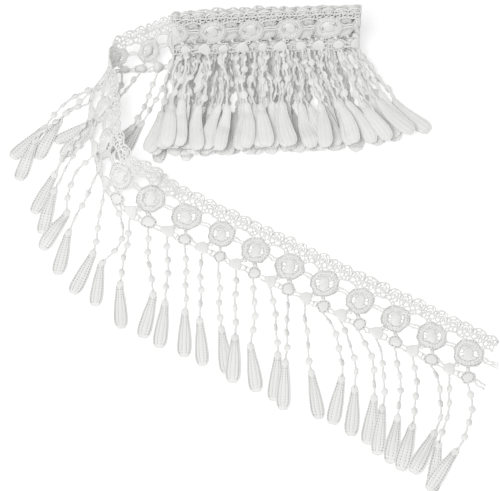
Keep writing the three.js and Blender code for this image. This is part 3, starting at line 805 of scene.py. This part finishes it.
def lay_strand(heap, strand, root, fall, swings, wander, rng):
    """The strand's line over the heap, with the frame that its flat points are carried on."""
    length = CORD.length + DROP.length
    s = np.arange(0, length + HEAP.step, HEAP.step)
    drop_height = max(root[2] - CORD.core, 0)
    settle = 0 if fall < 0.05 else drop_height * fall / (1 - math.cos(fall))
    pitch = np.where(s < settle, fall * (1 - s / max(settle, 1e-9)), 0)
    cord = np.minimum(s / CORD.length, 1)
    in_drop = np.clip((s - CORD.length) / CORD.bend, 0, 1)
    swing = swings[0] + (swings[1] - swings[0]) * cord
    swing = swing + (swings[2] - swing) * in_drop
    swing += wander[0] * (1 - in_drop) * np.sin(wander[2] + 2 * math.pi * s / WANDER_WAVE)
    swing += wander[1] * np.sin(2 * wander[2] + 2 * math.pi * s / BOW_WAVE)
    swing = np.radians(swing)
    flat = np.cos(pitch)
    steps = np.stack([flat * np.sin(swing), -flat * np.cos(swing), -np.sin(pitch)], axis=1)
    line = np.array(root) + np.vstack([np.zeros(3), np.cumsum(steps[:-1], axis=0)]) * HEAP.step
    twist = twist_along(strand, s, rng)
    half = strand_half(strand, s)
    need = np.abs(half * np.sin(twist)) + CORD.core * np.abs(np.cos(twist))
    support = np.array([heap.under(x, y, h * abs(math.cos(a)))
                        for (x, y, _), h, a in zip(line, half, twist)])
    floor = support + need
    reach = np.abs(s[:, None] - s[None, :]) * HEAP_SLOPE
    held = (floor[None, :] - reach).max(axis=1)
    line[:, 2] = np.maximum(line[:, 2], held)
    line[0, 2] = root[2]
    for (x, y, z), h, a, n in zip(line, half, twist, need):
        heap.pile(x, y, h * abs(math.cos(a)), z + n)
    return s, line, twist


def carried(points, s, line, twist):
    """Takes a flat strand's points onto its line."""
    x, y, z = points.T
    place = np.clip(x, s[0], s[-1])

    def there(vectors):
        return np.stack([np.interp(place, s, column) for column in vectors.T], axis=1)

    forward = unit(there(unit(np.gradient(line, axis=0))))
    sideways = unit(np.cross(UP, forward))
    crown = np.cross(forward, sideways)
    angle = np.interp(place, s, twist)
    sine, cosine = np.sin(angle), np.cos(angle)
    across, out = y * cosine - z * sine, y * sine + z * cosine
    spare = x - place
    return there(line) + forward * spare[:, None] + sideways * across[:, None] + crown * out[:, None]


def uneven(n, stride):
    """A fixed but uneven amount from -1 to 1 for each strand."""
    return 2 * ((n * stride) % 1) - 1


def coil_swings(x, n):
    side = min(max((x - COIL.x) / (COIL.run / 2), -1), 1)
    fan = FAN.middle + FAN.spread * side + FAN.right_flare * max(side, 0) ** 3
    shares = (FAN.at_disc, 1, FAN.in_drop)
    return [share * fan + FAN.unevenness * uneven(n, stride)
            for share, stride in zip(shares, FAN_STRIDES)]


def tail_swings(q):
    pointed, round_disc = TAIL_SWINGS[round(q)]
    return pointed if q < round(q) else round_disc


def root_places(start, end):
    rings = range(math.ceil(start), math.floor(end) + 1)
    return [n + (ROOTS.shift + side * ROOTS.disc) / REPEAT for n in rings for side in (-1, 1)]


def root_of(q):
    """Where a strand leaves its disc, and the angle at which the lace falls there."""
    root, above = middle(np.array([q, q]), np.array([ROOTS.height, ROOTS.height + 0.5 * MM]))
    downward = (root - above) / np.linalg.norm(root - above)
    return root, math.asin(min(max(-downward[2], 0), 1))


def laid_strands(kinds):
    """Every strand on its line, laid in the order in which they lie on each other."""
    heap = Heap()
    coil, turn, front = (root_places(*ends) for ends in (
        (COIL_START - INNER.slide, COIL_END), (COIL_END, FRINGE_SPLIT), (FRINGE_SPLIT, TAIL_END)))
    coil = [q for q in map(float, slid(np.array(coil))) if q > COIL_START]
    inner = [q + INNER.shift for q in coil if q < INNER.end]
    depth = {q: float(coil_hem(np.array([q]))[0] @ COIL_BACK) for q in coil + inner}
    for wound in (coil, inner):
        wound.sort(key=lambda q: -depth[q])
    laid = {"turn": [], "inner": [], "coil": [], "front": []}
    order = [(q, group) for group, places in zip(laid, (turn, inner, coil, front)) for q in places]
    for q, group in order:
        n = round(q * 2) + (INNER.second_set if group == "inner" else 0)
        root, fall = root_of(q)
        wound = group in ("inner", "coil")
        swings = coil_swings(root[0], n) if wound else tail_swings(q)
        heaped = wound or q < TAIL_LEAVES_COIL
        wander = (*WANDER["coil" if heaped else group], 2 * math.pi * ((n * WANDER_STRIDE) % 1))
        made = kinds["wound" if wound else "loose"]
        strand = made[n % len(made)]
        line = lay_strand(heap, strand, root, fall, swings, wander, random.Random(n))
        laid[group].append((strand, line))
    return laid


# Finishes

class Value:
    """A number that changes over a surface. Sums with it add Math nodes."""

    def __init__(self, finish, socket):
        self.finish = finish
        self.socket = socket

    def _math(self, operation, first, second):
        return self.finish.node("ShaderNodeMath", {"operation": operation}, {0: first, 1: second})

    def __add__(self, other):
        return self._math("ADD", self, other)

    def __sub__(self, other):
        return self._math("SUBTRACT", self, other)

    def __rsub__(self, other):
        return self._math("SUBTRACT", other, self)

    def __mul__(self, other):
        return self._math("MULTIPLY", self, other)

    def sine(self):
        return self._math("SINE", self, 0)

    def cosine(self):
        return self._math("COSINE", self, 0)

    def at_least(self, lowest):
        return self._math("MAXIMUM", self, lowest)

    def away_from(self, number):
        return self._math("ABSOLUTE", self - number, 0)


class Finish:
    """A material's nodes."""

    def __init__(self, name):
        self.material = bpy.data.materials.new(name)
        self.material.use_nodes = True
        self.nodes = self.material.node_tree.nodes
        self.links = self.material.node_tree.links
        self.surface = self.nodes["Principled BSDF"]

    def node(self, kind, settings=None, inputs=None, output=0):
        """A node with its settings and the values or links of its sockets. Gives one of its outputs."""
        made = self.nodes.new(kind)
        for name, value in (settings or {}).items():
            setattr(made, name, value)
        for name, value in (inputs or {}).items():
            self.put(made.inputs[name], value)
        return Value(self, made.outputs[output])

    def put(self, socket, value):
        if isinstance(value, Value):
            self.links.new(value.socket, socket)
        else:
            socket.default_value = value

    def mixed(self, share, first, second):
        """A colour between two, as a share of the second."""
        colours = {"Factor": share, 6: (*first, 1), 7: (*second, 1)}
        return self.node("ShaderNodeMix", {"data_type": "RGBA"}, colours, output=2)

    def done(self, surface):
        """The material, with what its surface takes."""
        for name, value in surface.items():
            self.put(self.surface.inputs[name], value)
        return self.material


# How strongly each part of the thread's finish shows. The stitch wave paints shade into the valleys
# between the stitches, the needle settings paint dark shade dots into the needle holes, and the cloud
# gives random tone.
THREAD_LOOK = SimpleNamespace(
    stitch_drift=5.0, wave_height=0.5, wave_shade=0.045, fibre_height=0.7, cloud_tone=0.12,
    flank_edge=8, needle_drift=3.0, needle_land=0.15, needle_gain=3, needle_least=0.6,
    bump=0.5, bump_depth=0.12 * MM, gloss_range=0.2, sheen=0.1)


def thread_finish(colour, shade, stitch, roughness):
    """White thread: stitches across it with painted shade between them, needle holes along its edges
    painted as dark shade dots, and uneven in tone at random.
    """
    finish = Finish("white_thread")
    uv = finish.node("ShaderNodeUVMap", {"uv_map": "UVMap"})
    run, round_it = (finish.node("ShaderNodeSeparateXYZ", inputs={0: uv}, output=n) for n in (0, 1))
    place = finish.node("ShaderNodeTexCoord", output="Object")
    cloud = finish.node("ShaderNodeTexNoise", inputs={"Vector": place, "Scale": 180.0, "Detail": 3.0})
    fibre = finish.node("ShaderNodeTexNoise", inputs={"Vector": place, "Scale": 2600.0, "Detail": 2.0})
    look = THREAD_LOOK
    wave = (run * (2 * math.pi / stitch) + cloud * look.stitch_drift).sine()
    flank = 1 - ((round_it - TOP_OF_THREAD) * (2 * math.pi)).cosine().away_from(0.5) * look.flank_edge
    pricks = (run * (2 * math.pi / NEEDLE_PITCH) + cloud * look.needle_drift).sine() - look.needle_land
    pricks = pricks * (cloud * look.needle_gain - look.needle_least)
    # The needle holes dent the bump, and they are painted dark as the shade inside the holes.
    holes = pricks.at_least(0) * flank.at_least(0)
    height = wave * look.wave_height + fibre * look.fibre_height - holes
    bump = finish.node("ShaderNodeBump", inputs={
        "Height": height, "Strength": look.bump, "Distance": look.bump_depth})
    # The share of the shade colour: painted shade between the stitches and in the needle holes, plus
    # random darker tone from the cloud.
    painted_shade_and_tone = (1 - wave) * look.wave_shade + (1 - cloud) * look.cloud_tone + holes
    return finish.done({
        "Base Color": finish.mixed(painted_shade_and_tone, colour, shade),
        "Roughness": cloud * look.gloss_range + (roughness - look.gloss_range / 2),
        "Normal": bump, "Sheen Weight": look.sheen})


def floor_finish(colour, glow):
    """A pale table top, lit a little from below."""
    finish = Finish("pale_floor")
    place = finish.node("ShaderNodeTexCoord", output="Object")
    cloud = finish.node("ShaderNodeTexNoise", inputs={"Vector": place, "Scale": 3.0, "Detail": 2.0})
    faint = tuple(0.985 * part for part in colour)
    return finish.done({
        "Base Color": finish.mixed(cloud, colour, faint), "Roughness": 0.9, "Specular IOR Level": 0.1,
        "Emission Color": (1, 1, 1, 1), "Emission Strength": glow})


# The add-on

FLOOR_HALF = 6
LAMP = SimpleNamespace(size=0.6, place=(-0.3, -0.5, 1.2))


class LaceSettings(bpy.types.PropertyGroup):
    """The sizes and colours of the lace and its fringe."""

    medallion_relief: FloatProperty(
        name="Medallion relief", description="How far a medallion's satin centre stands out",
        default=1.05 * MM, min=0.3 * MM, max=2 * MM, unit="LENGTH")
    strand_kinds: IntProperty(
        name="Strand kinds", description="How many different strands the fringe is mixed from",
        default=5, min=1, max=12)
    stitch: FloatProperty(
        name="Stitch", description="The width of one stitch across a thread",
        default=0.42 * MM, min=0.1 * MM, max=2 * MM, unit="LENGTH")
    colour: FloatVectorProperty(
        name="Thread", description="The thread's colour", subtype="COLOR",
        default=(0.93, 0.93, 0.92), min=0, max=1)
    # The shade colour holds the painted shade between the stitches and in the needle holes, and it is
    # also the darker end of the random tone.
    shade: FloatVectorProperty(
        name="Between stitches", description="The colour between the stitches", subtype="COLOR",
        default=(0.28, 0.28, 0.28), min=0, max=1)
    roughness: FloatProperty(
        name="Roughness", description="How matte the thread is", subtype="FACTOR",
        default=0.62, min=0, max=1)


class StageSettings(bpy.types.PropertyGroup):
    """The floor, light and camera."""

    floor: FloatVectorProperty(
        name="Floor", description="The floor's colour", subtype="COLOR",
        default=(0.76, 0.76, 0.76), min=0, max=1)
    sky: FloatProperty(
        name="Soft light", description="The strength of the light from all round",
        default=0.5, min=0, max=5)
    lamp: FloatProperty(
        name="Lamp", description="The power of the large lamp", unit="POWER",
        default=10.2, min=0, max=500)
    glow: FloatProperty(
        name="Glow", description="How far the table top is lit from below",
        default=0.4, min=0, max=1)
    elevation: FloatProperty(
        name="Camera elevation", description="How far above the floor the camera looks from",
        subtype="ANGLE", default=math.radians(63), min=0, max=math.radians(90))
    distance: FloatProperty(
        name="Camera distance", description="From the camera to the middle of the trim",
        unit="LENGTH", default=1.1, min=0.2, max=5)
    lens: FloatProperty(
        name="Lens", description="The camera's focal length in millimetres",
        default=130.7, min=20, max=300)


def placed(name, mesh, nodes=()):
    """Puts a finished mesh in the scene as a piece that stands for nodes of the frame."""
    piece = linked(name, mesh)
    mesh.materials.clear()
    mesh.materials.append(lace_material())
    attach(piece, "root")
    if nodes:
        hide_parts(*nodes)
    return piece


def lace_material():
    material = bpy.data.materials.get("white_thread")
    if material is None:
        s = bpy.context.scene.lace_trim
        material = thread_finish(tuple(s.colour), tuple(s.shade), s.stitch / MM, s.roughness)
    return material


def flat_repeat():
    return Pattern(foot=LACE.ring_line / MM)


def strip_of(pattern, part):
    """A part's strip of lace, arrayed from a drawn repeat and laid on its lie."""
    first, count = RINGS[part]
    strip = repeated(pattern.finished("repeat"), count)
    if part == "tail":
        trimmed(strip, (count - 1) * REPEAT + LACE.last_cut, 1)
    else:
        trimmed(strip, LACE.first_cut, -1)
    move_to(strip, lay_on_lie(coordinates(strip), first))
    return strip


class LACE_OT_band(bpy.types.Operator):
    """Stitches the medallion band, with its bars, rings and picot edge"""

    bl_idname = "lace.band"
    bl_label = "Medallion band"

    def execute(self, context):
        relief = context.scene.lace_trim.medallion_relief / MM
        for part in RINGS:
            pattern = flat_repeat()
            draw_medallion(pattern, relief, JOIN_SPREAD[part])
            draw_bars(pattern)
            draw_heading(pattern)
            placed(f"{part}_band", strip_of(pattern, part), [f"lace_{part}"])
        return {"FINISHED"}


class LACE_OT_discs(bpy.types.Operator):
    """Stitches the row of discs that the fringe hangs from"""

    bl_idname = "lace.discs"
    bl_label = "Disc row"

    def execute(self, context):
        for part in RINGS:
            pattern = flat_repeat()
            draw_discs(pattern)
            placed(f"{part}_discs", strip_of(pattern, part))
        return {"FINISHED"}


class LACE_OT_fray(bpy.types.Operator):
    """Leaves the cut bars' frayed ends at the end of the loose lace"""

    bl_idname = "lace.fray"
    bl_label = "Frayed ends"

    def execute(self, context):
        pattern = flat_repeat()
        draw_frayed_ends(pattern, random.Random(7))
        ends = pattern.finished("frayed_ends")
        first, count = RINGS["tail"]
        move_to(ends, lay_on_lie(coordinates(ends), first + count - 1))
        placed("frayed_ends", ends)
        return {"FINISHED"}


class LACE_OT_fringe(bpy.types.Operator):
    """Makes the strands of the fringe and lays them on each other"""

    bl_idname = "lace.fringe"
    bl_label = "Fringe"

    def execute(self, context):
        count = context.scene.lace_trim.strand_kinds
        kinds = {kind: [draw_strand(random.Random(seed), **make) for seed in range(count)]
                 for kind, make in STRAND_KINDS.items()}
        nodes = {"turn": ["tail_fringe_turn"], "inner": [], "coil": ["coil_fringe"],
                 "front": ["tail_fringe_front"]}
        for group, strands in laid_strands(kinds).items():
            joined = bmesh.new()
            for strand, line in strands:
                laid = strand.mesh.copy()
                move_to(laid, carried(coordinates(laid), *line) + np.array(ORIGIN))
                joined.from_mesh(laid)
                bpy.data.meshes.remove(laid)
            name = f"{group}_strands"
            placed(name, mesh_of(joined, name), nodes[group])
        return {"FINISHED"}


class LACE_OT_stage(bpy.types.Operator):
    """Sets up the floor, the soft light and the camera"""

    bl_idname = "lace.stage"
    bl_label = "Stage"

    def execute(self, context):
        s = context.scene.lace_stage
        ground = bmesh.new()
        bmesh.ops.create_grid(ground, x_segments=1, y_segments=1, size=FLOOR_HALF)
        mesh = mesh_of(ground, "floor")
        mesh.materials.append(floor_finish(tuple(s.floor), s.glow))
        floor = linked("floor", mesh)

        world = bpy.data.worlds.new("soft_light")
        world.use_nodes = True
        sky = world.node_tree.nodes["Background"].inputs
        sky["Color"].default_value = (1, 1, 1, 1)
        sky["Strength"].default_value = s.sky
        context.scene.world = world

        lamp = bpy.data.lights.new("lamp", "AREA")
        lamp.shape = "SQUARE"
        lamp.size = LAMP.size
        lamp.energy = s.lamp
        hung = linked("lamp", lamp)
        hung.location = LAMP.place
        hung.rotation_euler = (-hung.location).to_track_quat("-Z", "Y").to_euler()

        back = Vector((0, -math.cos(s.elevation), math.sin(s.elevation)))
        camera = bpy.data.cameras.new("camera")
        camera.lens = s.lens
        camera.sensor_width = 36
        camera.clip_start = 0.01
        holder = linked("camera", camera)
        holder.location = ORIGIN + back * s.distance
        holder.rotation_euler = back.to_track_quat("Z", "Y").to_euler()
        context.scene.camera = holder
        context.scene.view_settings.view_transform = "Standard"
        return {"FINISHED"}


class LACE_PT_panel(bpy.types.Panel):
    bl_label = "Lace Trim"
    bl_idname = "LACE_PT_panel"
    bl_space_type = "VIEW_3D"
    bl_region_type = "UI"
    bl_category = "Lace Trim"

    def draw(self, context):
        for settings in (context.scene.lace_trim, context.scene.lace_stage):
            box = self.layout.box()
            for name in settings.__annotations__:
                box.prop(settings, name)
        for operator in OPERATORS:
            self.layout.operator(operator.bl_idname)


OPERATORS = (LACE_OT_band, LACE_OT_discs, LACE_OT_fray, LACE_OT_fringe, LACE_OT_stage)
CLASSES = (LaceSettings, StageSettings, *OPERATORS, LACE_PT_panel)


def register():
    for cls in CLASSES:
        bpy.utils.register_class(cls)
    bpy.types.Scene.lace_trim = PointerProperty(type=LaceSettings)
    bpy.types.Scene.lace_stage = PointerProperty(type=StageSettings)


def unregister():
    del bpy.types.Scene.lace_stage
    del bpy.types.Scene.lace_trim
    for cls in reversed(CLASSES):
        bpy.utils.unregister_class(cls)


def main():
    register()
    bpy.ops.lace.stage()
    bpy.ops.lace.band()
    bpy.ops.lace.discs()
    bpy.ops.lace.fray()
    bpy.ops.lace.fringe()


if __name__ == "__main__":
    main()
